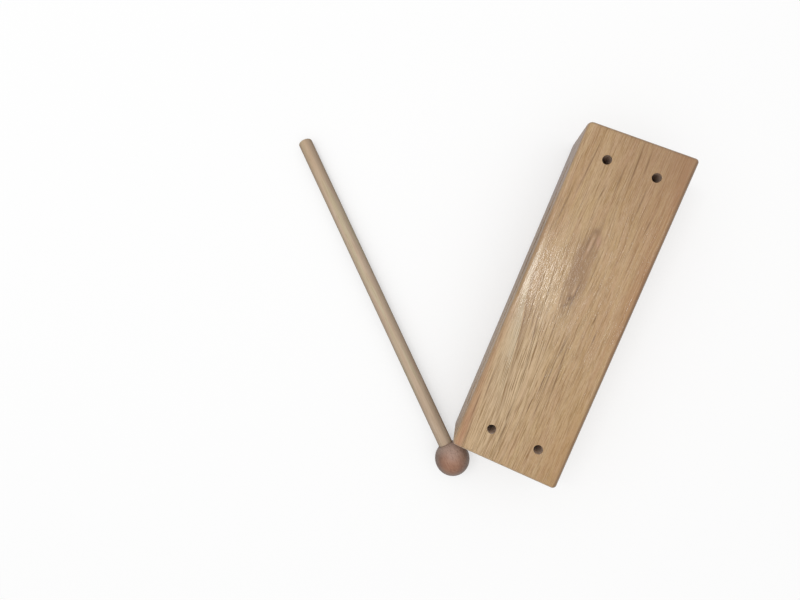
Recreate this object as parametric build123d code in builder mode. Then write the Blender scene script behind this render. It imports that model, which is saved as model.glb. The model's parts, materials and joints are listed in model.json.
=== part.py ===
from build123d import *
import os
from math import asin, atan2, cos, hypot, radians, sin, sqrt

# A wood block, cut from one bar of hardwood, and the loose ball-headed mallet beside it.
# Millimetres. The origin is the middle of the block's underside and +Z is up. +X runs along
# the block towards the end that the mallet's head lies past, and the slot opens towards -Y.

# Block
BLOCK_LENGTH = 180.0
BLOCK_WIDTH = 57.0
BLOCK_HEIGHT = 40.0
CORNER_RADIUS = 2.5  # the four upright edges
EDGE_RADIUS = 2.0  # the rims of the top and bottom faces

# Holes drilled right through, two near each end
HOLE_DIAMETER = 4.75
HOLE_END_INSET = 15.75
HOLE_SIDE_INSET = 15.75
HOLE_EDGE_BREAK = 0.2

# Sound slot, plunged into the front wall by a round blade
SLOT_MOUTH = 140.0
SLOT_DEPTH = 38.0
SLOT_HEIGHT = 5.0
PLATE_THICKNESS = 11.0  # of wood over the slot, up to the struck top face
SLOT_EDGE_BREAK = 0.5

# Mallet: a dowel glued into a ball
MALLET_LENGTH = 219.0  # from the far side of the ball to the tail of the stick
STICK_DIAMETER = 8.3
TAIL_ROUND = 1.5
HEAD_DIAMETER = 20.0
SOCKET_DEPTH = 12.0  # from the socket's rim to its floor
GLUE_GAP = 0.05  # all round the stick in its socket
SOCKET_FLOOR_GAP = 0.3
STICK_END_CHAMFER = 0.6

# Where the mallet lies on the table
HEAD_END_GAP = 5.8  # from the block's end to the ball
HEAD_SIDE_INSET = 5.6  # from the block's front wall to the ball's centre
STICK_HEADING = 228.0  # degrees from +X, seen from above, from the head towards the tail

os.makedirs("parts", exist_ok=True)

# Block: the bar with its rounded edges, then the slot, then the holes
hole_spacing_x = BLOCK_LENGTH - 2 * HOLE_END_INSET
hole_spacing_y = BLOCK_WIDTH - 2 * HOLE_SIDE_INSET
front_y = -BLOCK_WIDTH / 2
blade_radius = (SLOT_MOUTH**2 / 4 + SLOT_DEPTH**2) / (2 * SLOT_DEPTH)
blade_centre_y = front_y + SLOT_DEPTH - blade_radius
slot_underside = BLOCK_HEIGHT - PLATE_THICKNESS - SLOT_HEIGHT

with BuildPart() as block:
    with BuildSketch():
        RectangleRounded(BLOCK_LENGTH, BLOCK_WIDTH, CORNER_RADIUS)
    extrude(amount=BLOCK_HEIGHT)
    fillet(block.faces().filter_by(Axis.Z).edges(), EDGE_RADIUS)

    with BuildSketch(Plane.XY.offset(slot_underside)):
        with Locations((0, blade_centre_y)):
            Circle(blade_radius)
    extrude(amount=SLOT_HEIGHT, mode=Mode.SUBTRACT)
    front_face = block.faces().filter_by(Axis.Y).sort_by(Axis.Y)[0]
    fillet(front_face.inner_wires()[0].edges(), SLOT_EDGE_BREAK)

    with GridLocations(hole_spacing_x, hole_spacing_y, 2, 2):
        Hole(HOLE_DIAMETER / 2)
    level_faces = block.faces().filter_by(Axis.Z).sort_by(Axis.Z)
    hole_rims = level_faces[0].inner_wires() + level_faces[-1].inner_wires()
    chamfer([edge for rim in hole_rims for edge in rim.edges()], HOLE_EDGE_BREAK)

block.part.label = "block"
export_step(block.part, "parts/block.step")

# The mallet's line: the ball and the tail of the stick both touch the table
stick_radius = STICK_DIAMETER / 2
head_radius = HEAD_DIAMETER / 2
tail_from_head = MALLET_LENGTH - head_radius
round_out = stick_radius - TAIL_ROUND  # from the stick's axis to the centre of its rounded tail edge
round_along = tail_from_head - TAIL_ROUND
round_drop = head_radius - TAIL_ROUND
stick_slope = asin(round_drop / hypot(round_along, round_out)) - atan2(round_out, round_along)
heading = radians(STICK_HEADING)
head_centre = (
    BLOCK_LENGTH / 2 + HEAD_END_GAP + head_radius,
    front_y + HEAD_SIDE_INSET,
    head_radius,
)
mallet_plane = Plane(
    origin=head_centre,
    x_dir=(-sin(heading), cos(heading), 0),
    z_dir=(cos(heading) * cos(stick_slope), sin(heading) * cos(stick_slope), -sin(stick_slope)),
)
mallet_axis = Axis(mallet_plane.origin, mallet_plane.z_dir)
socket_radius = stick_radius + GLUE_GAP
socket_rim = sqrt(head_radius**2 - socket_radius**2)
socket_floor = socket_rim - SOCKET_DEPTH

# Mallet stick: a dowel, chamfered where it goes into the ball and rounded at its tail
stick_start = socket_floor + SOCKET_FLOOR_GAP

with BuildPart() as mallet_stick:
    with BuildSketch(mallet_plane.offset(stick_start)):
        Circle(stick_radius)
    extrude(amount=tail_from_head - stick_start)
    fillet(mallet_stick.edges().filter_by(GeomType.CIRCLE).sort_by(mallet_axis)[-1], TAIL_ROUND)
    chamfer(mallet_stick.edges().filter_by(GeomType.CIRCLE).sort_by(mallet_axis)[0], STICK_END_CHAMFER)

mallet_stick.part.label = "mallet_stick"
export_step(mallet_stick.part, "parts/mallet_stick.step")

# Mallet head: a turned ball with a blind socket for the stick
with BuildPart(mallet_plane) as mallet_head:
    Sphere(head_radius)
    with Locations((0, 0, head_radius)):
        Hole(socket_radius, depth=head_radius - socket_floor)

mallet_head.part.label = "mallet_head"
export_step(mallet_head.part, "parts/mallet_head.step")
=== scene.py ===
import json
from math import asin, atan2, cos, degrees, e, hypot, pi, radians, sin, sqrt

import bmesh
import bpy
from mathutils import Matrix, Vector


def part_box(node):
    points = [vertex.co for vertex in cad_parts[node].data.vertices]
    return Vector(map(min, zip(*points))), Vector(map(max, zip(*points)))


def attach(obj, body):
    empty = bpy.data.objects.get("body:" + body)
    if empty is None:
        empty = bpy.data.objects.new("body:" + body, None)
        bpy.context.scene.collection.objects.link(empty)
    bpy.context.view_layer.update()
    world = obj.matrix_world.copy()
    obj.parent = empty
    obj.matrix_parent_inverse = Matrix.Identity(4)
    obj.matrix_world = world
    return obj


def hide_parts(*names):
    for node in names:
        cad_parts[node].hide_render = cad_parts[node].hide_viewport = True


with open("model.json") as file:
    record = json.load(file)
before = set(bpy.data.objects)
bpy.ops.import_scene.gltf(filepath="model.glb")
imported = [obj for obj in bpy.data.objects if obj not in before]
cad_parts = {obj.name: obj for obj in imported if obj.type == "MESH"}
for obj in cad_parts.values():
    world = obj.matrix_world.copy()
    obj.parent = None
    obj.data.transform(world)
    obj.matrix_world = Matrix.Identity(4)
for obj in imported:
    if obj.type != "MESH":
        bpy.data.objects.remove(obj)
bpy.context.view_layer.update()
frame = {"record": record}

# The block is one bar of pale hardwood with fine open pores, sawn, drilled and sanded soft on every edge.
# A round blade plunged into its front wall leaves the deep slot, and two holes near each end go through.
# The whole bar is dipped in a thin satin varnish, which leaves the drilled and sawn walls nearly bare.
block_low, block_high = (Vector(corner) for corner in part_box("block"))
block_size = block_high - block_low
mid_height = (block_low.z + block_high.z) / 2
corner_rounds = {(-1, -1): 0.0029, (-1, 1): 0.0021, (1, 1): 0.0022, (1, -1): 0.0022}
rim_round = 0.0020
round_steps = 8
holes = next(m for m in frame["record"]["mounts"] if m["name"] == "through_holes")["dims"]
hole_radius = holes["hole_r_mm"] / 1000
hole_pitch = (holes["spacing_x_mm"] / 1000, holes["spacing_y_mm"] / 1000)
hole_sides = 64
slot_mouth = 0.140
slot_depth = 0.038
slot_height = 0.005
plate_thickness = 0.011
slot_z = block_high.z - plate_thickness - slot_height / 2
blade_radius = (slot_mouth**2 / 4 + slot_depth**2) / (2 * slot_depth)
blade_y = block_low.y + slot_depth - blade_radius
blade_sides = 360
edge_break = 0.00015
same_place = 1e-6

bar = bmesh.new()
bmesh.ops.create_cube(bar, size=1.0)
for corner in bar.verts:
    corner.co = Vector(a * b for a, b in zip(corner.co, block_size)) + Vector((0, 0, mid_height))
far_x = block_size.x / 2 - same_place
far_y = block_size.y / 2 - same_place
for (end, side), radius in corner_rounds.items():
    upright = [
        edge for edge in bar.edges
        if all(v.co.x * end > far_x and v.co.y * side > far_y for v in edge.verts)
    ]
    bmesh.ops.bevel(bar, geom=upright, offset=radius, segments=round_steps, profile=0.5, affect="EDGES")
level_faces = [face for face in bar.faces if abs(face.normal.z) > 0.9]
rims = [edge for edge in bar.edges if any(face in level_faces for face in edge.link_faces)]
bmesh.ops.bevel(bar, geom=rims, offset=rim_round, segments=round_steps, profile=0.5, affect="EDGES")
bar_mesh = bpy.data.meshes.new("bar")
bar.to_mesh(bar_mesh)
bar.free()
block = bpy.data.objects.new("wood_block", bar_mesh)
bpy.context.scene.collection.objects.link(block)


class Shade:
    """A material's socket. Operators on it add Math nodes, and node() adds a node of any other type."""

    def __init__(self, output):
        self.output = output

    def node(self, kind, settings, inputs, out=0):
        tree = self.output.id_data
        made = tree.nodes.new("ShaderNode" + kind)
        for name, value in settings.items():
            setattr(made, name, value)
        for name, value in inputs.items():
            if isinstance(value, Shade):
                tree.links.new(value.output, made.inputs[name])
            else:
                made.inputs[name].default_value = value
        return Shade(made.outputs[out])

    def math(self, operation, *values):
        return self.node("Math", {"operation": operation}, dict(enumerate(values)))

    def __add__(self, other):
        return self.math("ADD", self, other)

    def __sub__(self, other):
        return self.math("SUBTRACT", self, other)

    def __rsub__(self, other):
        return self.math("SUBTRACT", other, self)

    def __mul__(self, other):
        return self.math("MULTIPLY", self, other)

    def __truediv__(self, other):
        return self.math("DIVIDE", self, other)

    def __rtruediv__(self, other):
        return self.math("DIVIDE", other, self)

    def __pow__(self, other):
        return self.math("POWER", self, other)

    def __rpow__(self, other):
        return self.math("POWER", other, self)

    def __abs__(self):
        return self.math("ABSOLUTE", self)

    __radd__ = __add__
    __rmul__ = __mul__


def paint(red, green, blue):
    """A shader colour from ordinary 0 to 255 screen values."""
    parts = (value / 255 for value in (red, green, blue))
    return (*(p / 12.92 if p <= 0.04045 else ((p + 0.055) / 1.055) ** 2.4 for p in parts), 1.0)


def millimetres(material):
    """A place on the piece in millimetres, as a vector."""
    place = Shade(material.node_tree.nodes.new("ShaderNodeTexCoord").outputs["Object"])
    return place.node("VectorMath", {"operation": "SCALE"}, {0: place, "Scale": 1000.0})


def split(place):
    """The three parts of a vector."""
    return [Shade(part) for part in place.node("SeparateXYZ", {}, {0: place}).output.node.outputs]


def from_middle(place, middle, size, turn=0):
    """The place as seen from a middle, counted in sizes along each axis and turned about the last."""
    return place.node("Mapping", {"vector_type": "TEXTURE"}, {
        "Vector": place, "Location": middle, "Rotation": (0, 0, radians(turn)), "Scale": size})


def patch(place, middle, size, turn=0):
    """A patch with a soft edge: 1 at its middle, and about a third of that one size away."""
    away = from_middle(place, middle, size, turn)
    return e ** (-1 * away.node("VectorMath", {"operation": "DOT_PRODUCT"}, {0: away, 1: away}, "Value"))


def cloudy(place, cell, detail, start=0):
    """Uneven tone in cells of this size along each axis, about 0.3 to 0.7."""
    cells = from_middle(place, (start, start, start), cell)
    return cells.node("TexNoise", {}, {"Vector": cells, "Scale": 1.0, "Detail": detail})


def fade(value, start, end):
    """Goes smoothly from 0 at start to 1 at end."""
    return value.node("MapRange", {"interpolation_type": "SMOOTHSTEP"}, {
        "Value": value, "From Min": start, "From Max": end})


def eased(value, middle, width):
    """Goes slowly from 0 to 1, and is half way at the middle."""
    return 1 / (1 + e ** ((middle - value) / width))


def stained(colour, *layers):
    """A colour with others laid over it in turn, each by an amount from 0 to 1."""
    for over, amount in layers:
        colour = amount.node("Mix", {"data_type": "RGBA"}, {"Factor": amount, 6: colour, 7: over}, 2)
    return colour


def relief(height):
    """A bump from a height in millimetres."""
    return height.node("Bump", {}, {"Height": height, "Distance": 0.001, "Strength": 1.0})


def dress(material, values):
    """Links each value to its input on the material's shader, and gives that shader."""
    shader = material.node_tree.nodes["Principled BSDF"]
    for name, value in values.items():
        material.node_tree.links.new(value.output, shader.inputs[name])
    return shader


# The wood's lengths are in millimetres. A size of deep goes right through the bar, and one of endless
# along all of it.
wood = bpy.data.materials.new("varnished_hardwood")
wood.use_nodes = True
spot = millimetres(wood)
x, y, z = split(spot)
top = 40.0
front = -28.5
deep = 60.0
endless = 1000.0

# The grain runs along the bar. It parts round a pin knot, dips in front of it and rises a little behind
# it, and at the front right it climbs.
knot_swell = patch(spot, (-17.0, -3.0, top), (24.0, 6.0, 14.0))
climb = 13.0 * eased(x, 22.0, 30.0) * patch(spot, (0.0, -13.0, top), (endless, 11.0, deep))
rise = 2.8 * eased(x, -45.0, 6.0) * patch(spot, (0.0, 7.0, top), (endless, 9.0, deep))
dip = 1.2 * patch(spot, (-40.0, -11.0, top), (18.0, 7.0, 30.0))
dip = dip + 2.2 * patch(spot, (-9.0, -21.0, top), (18.0, 8.0, deep))
wander = cloudy(spot, (55.0, 16.0, 16.0), 1.0) - 0.5
across = y - 0.45 * (y + 3) * knot_swell - climb - rise + dip + 2.0 * wander
grain = x.node("CombineXYZ", {}, {"X": x, "Y": across, "Z": z})

# Growth rings about a heart that lay outside the bar: each starts with a dark line and pales outwards.
# One at the front is bold, and all of them show on the ends.
heart_y = -62.0
heart_z = -15.0
ring_width = 5.6
first_ring = 66.9
turns = (((across - heart_y) ** 2 + (z - heart_z) ** 2) ** 0.5 - first_ring) / ring_width
ring = turns.math("FRACT", turns)
ring_line = (e ** (-12 * ring) + 0.4 * e ** (-3 * ring)) * fade(ring, 0.0, 0.03)
ring_pale = fade(ring, 0.55, 0.97) * (1 - fade(ring, 0.97, 1.0))
bold_line = patch(grain, (24.0, -24.0, top), (40.0, 5.0, deep))
bold_pale = patch(grain, (14.0, -24.0, top), (28.0, 5.0, deep))
on_ends = fade(abs(x), 88.0, 89.5)


def marks(place):
    """Soft lines, then short, long and very long pores, all along the place's first axis."""
    crowding = 0.06 * cloudy(place, (40.0, 6.0, 6.0), 1.0, 37) - 0.03
    return (
        cloudy(place, (26.0, 0.65, 0.65), 1.0, 23),
        fade(cloudy(place, (7.0, 0.36, 0.36), 0.0, 41) + crowding, 0.52, 0.74),
        fade(cloudy(place, (13.0, 0.40, 0.40), 0.0, 47) + crowding, 0.57, 0.74),
        fade(cloudy(place, (42.0, 0.42, 0.42), 0.0, 59) + crowding, 0.58, 0.74),
    )


# Pores are cut along their length on the top and walls as dashes, and across on the ends as dots. They
# lie level, or climb a twelfth where the grain does, and are darkest at the front right.
wavy = y + 1.5 * wander
level = marks(x.node("CombineXYZ", {}, {"X": x, "Y": wavy, "Z": z}))
climbing = marks(x.node("CombineXYZ", {}, {"X": x, "Y": wavy - x / 12, "Z": z}))
slant = patch(spot, (15.0, -13.0, top), (58.0, 12.0, deep))
slant = fade(slant + patch(spot, (-46.0, 6.0, top), (14.0, 8.0, deep)), 0.3, 0.7)
lines, pores, long_pores, longest_pores = (
    flat + (sloped - flat) * slant for flat, sloped in zip(level, climbing))
busy = patch(spot, (34.0, -11.0, top), (52.0, 13.0, deep))

# Bands and tints come first, then soft lines and fibres, the bar's palest stretch, its rings and its pores.
bands = cloudy(grain, (45.0, 5.0, 5.0), 1.0, 11)
tint = cloudy(grain, (16.0, 2.6, 2.6), 1.0, 71)
fibres = cloudy(spot, (1.5, 0.40, 0.40), 0.0, 53)
colour = stained(
    paint(193, 161, 120),
    (paint(188, 153, 112), fade(bands, 0.36, 0.64)),
    (paint(198, 158, 132), 0.18 * fade(tint, 0.50, 0.66)),
    (paint(190, 158, 96), 0.16 * fade(tint, 0.50, 0.34)),
    (paint(150, 116, 74), 0.14 * fade(lines, 0.50, 0.72)),
    (paint(208, 182, 154), 0.14 * fade(lines, 0.48, 0.30)),
    (paint(140, 104, 66), 0.14 * fade(fibres, 0.50, 0.70)),
    (paint(216, 192, 162), 0.14 * fade(fibres, 0.50, 0.30)),
    (paint(222, 196, 160), 0.60 * patch(spot, (42.0, -14.0, top), (52.0, 13.0, deep))),
    (paint(210, 192, 162), (0.06 + 0.75 * bold_pale) * ring_pale),
    (paint(120, 86, 52), (0.08 + 0.52 * bold_line + 0.3 * on_ends) * ring_line),
    (paint(122, 84, 14), (0.34 + 0.20 * busy) * pores),
    (paint(118, 80, 12), (0.36 + 0.40 * busy) * long_pores),
    (paint(100, 66, 10), (0.10 + 0.60 * busy) * longest_pores),
)

# The long rims are browner, partly in streaks. The back darkens towards the left, and the left-hand end
# most of all:
# partly a browner tone of the wood, partly painted shade where less light falls.
streaky = fade(lines + bands - 0.5, 0.35, 0.65)
colour = stained(
    colour,
    (paint(164, 120, 84), 0.55 * streaky * patch(spot, (-55.0, -28.0, top), (30.0, 4.0, deep))),
    (paint(158, 114, 76), 0.55 * streaky * patch(spot, (-50.0, 27.0, top), (60.0, 7.0, deep))),
    (paint(176, 120, 92), 0.5 * patch(spot, (84.0, -25.4, top), (24.0, 2.0, 30.0), 1)),
    (paint(166, 118, 84), 0.45 * patch(spot, (50.0, -27.2, top), (40.0, 1.6, 30.0))),
    # Painted shade where less light falls, over a browner tone of the wood, on the next line and the last.
    (paint(172, 126, 88), 0.24 * fade(y, 8.0, 26.0) * fade(x, 50.0, -10.0)),
    (paint(170, 128, 74), 0.3 * fade(y, 12.0, 24.0) * fade(x, 15.0, 65.0)),
    (paint(144, 106, 76), 0.55 * patch(spot, (-100.0, 20.0, top), (40.0, 34.0, deep))),
)

# A few pores are long and dark enough to be seen one by one: where each is, half its length and its tilt.
# The back rim is painted darker: painted shade where it turns away from the light. The left-hand rim is
# darker too.
pore_width = 0.36
single_pores = 0
for pore_x, pore_y, half_length, tilt in (
    (-75.0, 1.5, 12.0, 2.5), (-67.0, -3.3, 7.0, 1.0), (-58.0, -8.7, 4.0, -8.0), (-70.0, -19.6, 13.0, -3.0),
    (-46.0, -23.4, 11.0, -2.5), (-60.0, 10.6, 8.0, 0.0), (-50.0, 18.2, 5.0, -4.0), (-79.0, 6.1, 6.0, 3.0),
    (26.0, 6.0, 7.0, 4.0), (40.0, 7.2, 9.0, 3.0), (20.0, 3.8, 5.0, -2.0), (37.0, 3.2, 9.0, 1.5),
    (40.0, 1.3, 8.0, 0.0), (55.0, 3.8, 5.0, 0.0), (55.0, -0.1, 4.0, 0.0), (62.0, -7.9, 6.0, 2.0),
    (74.0, -7.2, 7.0, 1.0), (82.0, -23.3, 9.0, 2.0), (66.0, -24.9, 7.0, 2.0), (52.0, -22.8, 10.0, 3.0),
    (12.0, -15.5, 8.0, 8.0), (18.0, -12.6, 9.0, 9.0), (2.0, 12.7, 2.5, -2.0), (11.0, 16.0, 3.0, 0.0),
):
    single_pores = single_pores + patch(spot, (pore_x, pore_y, top), (half_length, pore_width, 20.0), tilt)
# Painted shade along the back rim, and a darker left-hand rim.
darkened_rims = y.math("MAXIMUM", 0.65 * fade(y, 26.0, 27.3), 0.4 * fade(x, -87.8, -89.5))
colour = stained(
    colour,
    (paint(104, 72, 40), 0.62 * single_pores),
    (paint(112, 80, 54), darkened_rims * fade(z, 38.0, 39.0)),
)

# The pin knot is a long, uneven haze of darker wood, with a pale split and a dark end at its left, and
# a pale streak, two dark lines and a dark eye at its right.
knot_x, knot_y, knot_z = split(from_middle(spot, (-18.5, -3.0, top), (23.0, 5.4, 12.0)))
knot_edge = knot_x ** 2 + knot_y ** 2 + knot_z ** 2
knot_edge = knot_edge + 1.8 * (cloudy(spot, (9.0, 3.0, 6.0), 1.0, 83) - 0.5)
knot = 1 - fade(knot_edge, 0.1, 1.6)
colour = stained(
    colour,
    (paint(142, 108, 76), 0.62 * knot),
    (paint(152, 118, 88), 0.4 * patch(spot, (-24.0, -7.4, top), (11.0, 2.6, 12.0))),
    (paint(192, 148, 126), 0.5 * patch(spot, (-35.0, -0.9, top), (3.0, 1.2, 6.0), 12)),
    (paint(200, 164, 134), 0.65 * patch(spot, (-31.8, -3.8, top), (6.0, 0.8, 6.0), -1)),
    (paint(112, 80, 54), 0.5 * patch(spot, (-32.5, -2.5, top), (6.5, 0.5, 6.0), -2)),
    (paint(112, 80, 54), 0.45 * patch(spot, (-33.0, -5.2, top), (6.5, 0.6, 6.0), -2)),
    (paint(120, 88, 62), 0.5 * patch(spot, (-39.2, -3.7, top), (1.8, 1.6, 6.0))),
    (paint(206, 172, 138), 0.6 * patch(spot, (-8.0, -2.1, top), (3.2, 0.6, 6.0), 2)),
    (paint(104, 72, 48), 0.5 * patch(spot, (-5.5, -1.2, top), (7.0, 0.6, 6.0))),
    (paint(104, 74, 50), 0.5 * patch(spot, (0.4, -3.2, top), (2.6, 0.7, 6.0), -48)),
    (paint(88, 58, 38), 0.6 * patch(spot, (-3.3, -2.6, top), (1.6, 0.9, 8.0))),
)

# The front wall is painted darker left of its middle, along the slot's mouth: painted shade. It is paler
# right of it. It is greyer at its left-hand end. Low down it is greyer still: a painted reflection of the
# pale table.
wall = fade(y, -27.6, -28.4)
colour = stained(
    colour,
    # Painted shade along the slot's mouth.
    (paint(108, 82, 66), 0.44 * patch(spot, (-20.0, front, 27.0), (28.0, 2.0, 12.0))),
    (paint(214, 196, 176), 0.3 * patch(spot, (38.0, front, 27.0), (28.0, 2.0, 10.0))),
    (paint(165, 165, 185), 0.2 * wall * fade(x, -40.0, -60.0)),
    # Painted reflection of the pale table, low on the wall.
    (paint(112, 122, 150), 0.2 * wall * fade(z, 30.0, 10.0)),
)

# The drilled walls are bare and pale. They are painted darker deep inside and in the left-hand holes:
# painted shade. The slot's sawn walls are bare and dull.
hole_x, hole_y = (1000 * pitch / 2 for pitch in hole_pitch)
hole_off = ((abs(x) - hole_x) ** 2 + (abs(y) - hole_y) ** 2) ** 0.5
drilled = (1 - fade(hole_off - 1000 * hole_radius, 0.03, 0.10)) * (1 - fade(z, 39.75, 39.9))
sawn = (1 - fade(abs(z - 1000 * slot_z), 2.52, 2.62)) * (1 - fade(abs(x), 72.0, 74.0))
sawn = sawn * fade(y, -28.2, -27.6) * (1 - fade(y, 14.0, 16.0))
colour = stained(
    colour,
    (paint(206, 186, 170), 0.9 * drilled),
    # Painted shade deep in the holes, then painted shade in the left-hand holes.
    (paint(112, 90, 80), drilled * fade(z, 28.0, 12.0)),
    (paint(112, 90, 80), 0.3 * drilled * fade(x, 0.0, -40.0)),
    (paint(150, 122, 96), 0.6 * sawn),
)

# The satin varnish is glossier on the sanded top than on the walls. It lies in shallow dimples, shallower
# still over the knot, which end before the front rim, where it thins. The longer pores show in it.
dimples = cloudy(spot, (2.6, 0.55, 1.0), 0.0, 67) - 0.5
dimples = dimples * fade(y, -25.5, -23.5) * (1 - 0.7 * knot)
thinned = y.math("MAXIMUM", -25.3 - y, 0.0) ** 2
height = 0.053 * dimples - 0.02 * long_pores - 0.02 * longest_pores - 0.03 * thinned
sanded = fade(z, 38.0, 39.3)
bare = drilled.math("MAXIMUM", drilled, sawn)
gloss = 0.44 - 0.35 * sanded + 0.08 * pores + 0.3 * bare
varnish = dress(wood, {
    "Base Color": colour, "Roughness": gloss, "Coat Weight": 0.26 * sanded, "Normal": relief(height)})
varnish.inputs["Specular IOR Level"].default_value = 0.4
varnish.inputs["Coat Roughness"].default_value = 0.21

# The holes and the slot are cut by a node tree: one drill on each of four points, and one round blade.
cut_sizes = {
    "Hole radius": hole_radius, "Hole pitch X": hole_pitch[0], "Hole pitch Y": hole_pitch[1],
    "Hole depth": 2 * block_size.z, "Blade radius": blade_radius, "Blade Y": blade_y, "Blade Z": slot_z,
    "Slot height": slot_height,
}
cutting = bpy.data.node_groups.new("drill_and_saw", "GeometryNodeTree")
cutting.interface.new_socket("Geometry", in_out="INPUT", socket_type="NodeSocketGeometry")
for name in cut_sizes:
    cutting.interface.new_socket(name, in_out="INPUT", socket_type="NodeSocketFloat")
cutting.interface.new_socket("Geometry", in_out="OUTPUT", socket_type="NodeSocketGeometry")


def geo(kind, settings, inputs):
    """Adds one geometry node: its settings first, then its values and links. Gives its first output."""
    made = cutting.nodes.new(kind)
    for name, value in settings.items():
        setattr(made, name, value)
    for name, value in inputs.items():
        for one in value if isinstance(value, list) else [value]:
            if isinstance(one, bpy.types.NodeSocket):
                cutting.links.new(one, made.inputs[name])
            else:
                made.inputs[name].default_value = one
    return made.outputs[0]


given = cutting.nodes.new("NodeGroupInput").outputs
drill = geo("GeometryNodeMeshCylinder", {}, {
    "Vertices": hole_sides, "Radius": given["Hole radius"], "Depth": given["Hole depth"]})
points = geo("GeometryNodeMeshGrid", {}, {
    "Size X": given["Hole pitch X"], "Size Y": given["Hole pitch Y"], "Vertices X": 2, "Vertices Y": 2})
drills = geo("GeometryNodeInstanceOnPoints", {}, {"Points": points, "Instance": drill})
blade = geo("GeometryNodeMeshCylinder", {}, {
    "Vertices": blade_sides, "Radius": given["Blade radius"], "Depth": given["Slot height"]})
blade_place = geo("ShaderNodeCombineXYZ", {}, {"Y": given["Blade Y"], "Z": given["Blade Z"]})
blade = geo("GeometryNodeTransform", {}, {"Geometry": blade, "Translation": blade_place})
cutters = geo("GeometryNodeJoinGeometry", {}, {"Geometry": [drills, blade]})
cutters = geo("GeometryNodeRealizeInstances", {}, {"Geometry": cutters})
cut = geo("GeometryNodeMeshBoolean", {"operation": "DIFFERENCE", "solver": "EXACT"}, {
    "Mesh 1": given["Geometry"], "Mesh 2": cutters})
cut = geo("GeometryNodeRealizeInstances", {}, {"Geometry": cut})
cut = geo("GeometryNodeSetMaterial", {}, {"Geometry": cut, "Material": wood})
cutting.links.new(cut, cutting.nodes.new("NodeGroupOutput").inputs["Geometry"])

sawing = block.modifiers.new("drill and saw", "NODES")
sawing.node_group = cutting
for socket in cutting.interface.items_tree:
    if socket.name in cut_sizes:
        sawing[socket.identifier] = cut_sizes[socket.name]


def made_plain(piece):
    """Turns a piece and its modifiers into one plain mesh."""
    evaluated = piece.evaluated_get(bpy.context.evaluated_depsgraph_get())
    mesh = bpy.data.meshes.new_from_object(evaluated)
    piece.modifiers.clear()
    piece.data = mesh


made_plain(block)
breaking = block.modifiers.new("broken rims", "BEVEL")
breaking.limit_method = "ANGLE"
breaking.angle_limit = radians(40)
breaking.width = edge_break
breaking.segments = 2
made_plain(block)
block.data.shade_smooth()
block.data.set_sharp_from_angle(angle=radians(50))
evening = block.modifiers.new("flat faces stay flat", "WEIGHTED_NORMAL")
evening.keep_sharp = True
made_plain(block)
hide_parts("block")
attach(block, "block")

# The stick is a plain length of pale dowel, sanded but not varnished, with its tail rounded over.
# Its other end is glued into the ball, and it slopes down from there to the table.
ball_low, ball_high = (Vector(corner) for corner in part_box("mallet_head"))
ball_centre = (ball_low + ball_high) / 2
ball_radius = (ball_high.z - ball_low.z) / 2
mallet_length = 0.219
heading = 228.0
stick_radius = 0.00415
stick_sides = 64
tail_round = 0.0015
end_chamfer = 0.0006
socket_depth = 0.012
socket_floor_gap = 0.0003
glue_gap = 0.00005
socket_radius = stick_radius + glue_gap
socket_rim = sqrt(ball_radius**2 - socket_radius**2)
socket_floor = socket_rim - socket_depth
stick_start = socket_floor + socket_floor_gap
tail = mallet_length - ball_radius
round_out = stick_radius - tail_round
round_along = tail - tail_round
slope = asin((ball_radius - tail_round) / hypot(round_along, round_out)) - atan2(round_out, round_along)
stick_turn = radians(heading)
stick_way = Vector((cos(stick_turn) * cos(slope), sin(stick_turn) * cos(slope), -sin(slope)))
stick_side = Vector((-sin(stick_turn), cos(stick_turn), 0))
mallet_place = Matrix.Translation(ball_centre) @ Matrix(
    (stick_side, stick_way.cross(stick_side), stick_way)).transposed().to_4x4()


def turned(name, outline, sides, place):
    """A piece turned on a lathe, from an outline of radius and distance along its axis, pole to pole."""
    lathe = bmesh.new()
    points = [lathe.verts.new((radius, 0, along)) for radius, along in outline]
    edges = [lathe.edges.new(pair) for pair in zip(points, points[1:])]
    bmesh.ops.spin(lathe, geom=points + edges, cent=(0, 0, 0), axis=(0, 0, 1), angle=2 * pi, steps=sides)
    bmesh.ops.remove_doubles(lathe, verts=lathe.verts, dist=same_place)
    bmesh.ops.recalc_face_normals(lathe, faces=lathe.faces)
    lathe.transform(place)
    mesh = bpy.data.meshes.new(name)
    lathe.to_mesh(mesh)
    lathe.free()
    mesh.shade_smooth()
    piece = bpy.data.objects.new(name, mesh)
    bpy.context.scene.collection.objects.link(piece)
    return piece


def arc(centre, radius, start, end, steps):
    """Points on a round stretch of an outline, with angles in degrees from the radial direction."""
    angles = (radians(start + (end - start) * step / steps) for step in range(steps + 1))
    return [(centre[0] + radius * cos(a), centre[1] + radius * sin(a)) for a in angles]


stick_outline = [
    (0, stick_start), (stick_radius - end_chamfer, stick_start), (stick_radius, stick_start + end_chamfer)]
stick_outline += arc((round_out, round_along), tail_round, 0, 90, round_steps)
stick_outline += [(0, tail)]
stick = turned("beater_stick", stick_outline, stick_sides, mallet_place)

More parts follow.
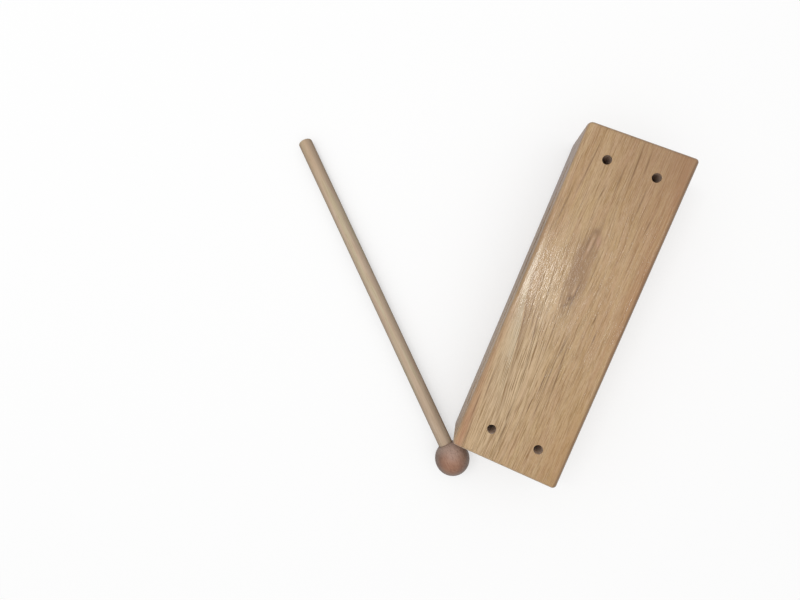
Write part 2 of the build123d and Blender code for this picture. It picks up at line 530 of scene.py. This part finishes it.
dowel = bpy.data.materials.new("bare_dowel")
dowel.use_nodes = True
along_stick = from_middle(millimetres(dowel), ball_centre * 1000, (1, 1, 1), heading)
along, aside = split(along_stick)[:2]
streaks = cloudy(along_stick, (45.0, 3.0, 3.0), 1.0, 5)
fibres = cloudy(along_stick, (20.0, 0.7, 0.7), 1.0, 13)
flecks = fade(cloudy(along_stick, (5.0, 0.4, 0.4), 0.0, 29), 0.60, 0.74)
colour = stained(
    paint(198, 175, 151),
    (paint(193, 177, 149), fade(streaks, 0.40, 0.60)),
    (paint(166, 142, 116), 0.22 * fade(fibres, 0.52, 0.72)),
    (paint(212, 198, 178), 0.22 * fade(fibres, 0.48, 0.30)),
    (paint(150, 122, 96), 0.20 * flecks),
    (paint(176, 148, 116), 0.45 * fade(along, 150.0, 215.0)),
    # The flanks are painted darker: painted shade where they turn away from the overhead light.
    (paint(136, 122, 112), 0.26 * fade(abs(aside - 0.5), 1.0, 2.9)),
)
gloss = 0.70 + 0.2 * fade(fibres, 0.4, 0.6)
height = 0.02 * fibres - 0.015 * flecks
dry_wood = dress(dowel, {"Base Color": colour, "Roughness": gloss, "Normal": relief(height)})
dry_wood.inputs["Specular IOR Level"].default_value = 0.25
stick.data.materials.append(dowel)
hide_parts("mallet_stick")
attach(stick, "mallet")

# The head is a small ball turned from a darker, reddish wood, with a blind hole that the stick is
# glued into. It is left matt. It is painted paler on top, beside the stick, with a painted highlight, and
# its lower half has painted shade over a greyer tone.
ball_sides = 96
ball_steps = 48
rim_angle = degrees(atan2(socket_rim, socket_radius))
ball_outline = [(0, socket_floor), (socket_radius, socket_floor)]
ball_outline += arc((0, 0), ball_radius, rim_angle, -90, ball_steps)
ball_outline[-1] = (0, -ball_radius)
ball = turned("beater_ball", ball_outline, ball_sides, mallet_place)

red_wood = bpy.data.materials.new("matt_red_wood")
red_wood.use_nodes = True
along_ball = from_middle(millimetres(red_wood), ball_centre * 1000, (1, 1, 1), heading)
above = split(along_ball)[2]
clouds = cloudy(along_ball, (9.0, 6.0, 6.0), 1.0, 3)
streaks = cloudy(along_ball, (8.0, 0.9, 0.9), 2.0, 17)
pores = fade(cloudy(along_ball, (2.6, 0.32, 0.32), 1.0, 31), 0.55, 0.70)
colour = stained(
    paint(147, 109, 87),
    (paint(138, 102, 83), fade(clouds, 0.36, 0.60)),
    (paint(168, 114, 82), 0.5 * patch(along_ball, (0.0, 0.0, 10.0), (6.0, 5.0, 4.0))),
    # Painted shade on the lower half, over a greyer tone of the wood.
    (paint(120, 106, 98), 0.8 * fade(above, 9.2, 4.5)),
    # Painted light beside the stick, where its shadow would fall.
    (paint(196, 170, 154), 0.5 * patch(along_ball, (8.0, 0.0, 5.0), (2.5, 6.0, 5.0))),
    # Painted highlight on top.
    (paint(200, 172, 158), 0.8 * patch(along_ball, (5.3, -4.2, 7.4), (5.5, 5.5, 5.0))),
    (paint(120, 86, 66), 0.4 * fade(streaks, 0.50, 0.72)),
    (paint(176, 140, 118), 0.35 * fade(streaks, 0.48, 0.30)),
    (paint(98, 68, 52), 0.4 * pores),
)
gloss = 0.46 + 0.2 * pores + 0.1 * fade(clouds, 0.4, 0.6)
height = 0.02 * streaks - 0.02 * pores
dress(red_wood, {"Base Color": colour, "Roughness": gloss, "Normal": relief(height)})
ball.data.materials.append(red_wood)
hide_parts("mallet_head")
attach(ball, "mallet")

# The table is a plain white sheet, just under the block. Seen by the camera or in a reflection it is
# lifted to white, and it keeps the shadows.
table_half = 3.0
table_gap = 0.0002
table_grey = 0.30
table_seen = 0.50
table_mesh = bpy.data.meshes.new("table")
table_mesh.from_pydata(
    [(a * table_half, b * table_half, -table_gap) for a, b in ((-1, -1), (1, -1), (1, 1), (-1, 1))],
    [], [(0, 1, 2, 3)])
table = bpy.data.objects.new("table", table_mesh)
bpy.context.scene.collection.objects.link(table)


def seen(tree):
    """1 where a ray comes from the camera, a reflection or a clear material, and 0 for plain light."""
    rays = tree.nodes.new("ShaderNodeLightPath").outputs
    camera, glossy, clear = (Shade(rays[f"Is {kind} Ray"]) for kind in ("Camera", "Glossy", "Transmission"))
    return camera.math("MAXIMUM", camera, glossy.math("MAXIMUM", glossy, clear))


sheet = bpy.data.materials.new("white_sheet")
sheet.use_nodes = True
lift = seen(sheet.node_tree)
paper = dress(sheet, {"Base Color": table_grey + (table_seen - table_grey) * lift})
paper.inputs["Roughness"].default_value = 1.0
paper.inputs["Specular IOR Level"].default_value = 0.0
glow = lift.node("Emission", {}, {"Color": (1, 1, 1, 1), "Strength": lift * (1 - table_seen)})
lit = lift.node("AddShader", {}, {0: Shade(paper.outputs[0]), 1: glow})
sheet.node_tree.links.new(lit.output, sheet.node_tree.nodes["Material Output"].inputs["Surface"])
table_mesh.materials.append(sheet)

# The light is a pale room, brightest overhead, and one long lamp high over the front, which shines in the
# varnish. Seen by the camera or in a reflection, the room is an even, nearly white backdrop.
room_side = 0.20
room_top = 1.33
room_seen = 0.85
lamp_place = Vector((-0.118, -0.395, 1.55))
lamp_aim = Vector((-0.118, -0.395, 0.0))
lamp_width = 0.17
lamp_length = 1.0
lamp_watts = 5.7
room = bpy.data.worlds.new("room")
bpy.context.scene.world = room
room.use_nodes = True
room_glow = room.node_tree.nodes["Background"]
room_glow.inputs["Color"].default_value = (1, 1, 1, 1)
way = Shade(room.node_tree.nodes.new("ShaderNodeTexCoord").outputs["Generated"])
up = split(way)[2]
plain = room_side + (room_top - room_side) * up.math("MAXIMUM", up, 0.0) ** 2
strength = plain + (room_seen - plain) * seen(room.node_tree)
room.node_tree.links.new(strength.output, room_glow.inputs["Strength"])

tube = bpy.data.lights.new("tube_lamp", "AREA")
tube.shape = "RECTANGLE"
tube.size = lamp_width
tube.size_y = lamp_length
tube.energy = lamp_watts
lamp = bpy.data.objects.new("tube_lamp", tube)
lamp.location = lamp_place
lamp.rotation_euler = (lamp_aim - lamp_place).to_track_quat("-Z", "Y").to_euler()
bpy.context.scene.collection.objects.link(lamp)

# The camera hangs over the block's front edge and looks almost straight down, with the block's left-hand
# end towards the top of the picture.
camera_place = Vector((0.012649, -0.049237, 0.315204))
camera_aim = Vector((0.033297, -0.087463, 0.0))
picture_up = Vector((-0.923529, -0.383273, -0.014016))
camera_back = (camera_place - camera_aim).normalized()
camera_right = picture_up.cross(camera_back).normalized()
camera_data = bpy.data.cameras.new("camera")
camera_data.sensor_width = 36.0
camera_data.lens = 23.625
camera_data.clip_start = 0.01
camera = bpy.data.objects.new("camera", camera_data)
camera.matrix_world = Matrix.Translation(camera_place) @ Matrix(
    (camera_right, camera_back.cross(camera_right), camera_back)).transposed().to_4x4()
bpy.context.scene.collection.objects.link(camera)
bpy.context.scene.camera = camera
bpy.context.scene.view_settings.view_transform = "Standard"
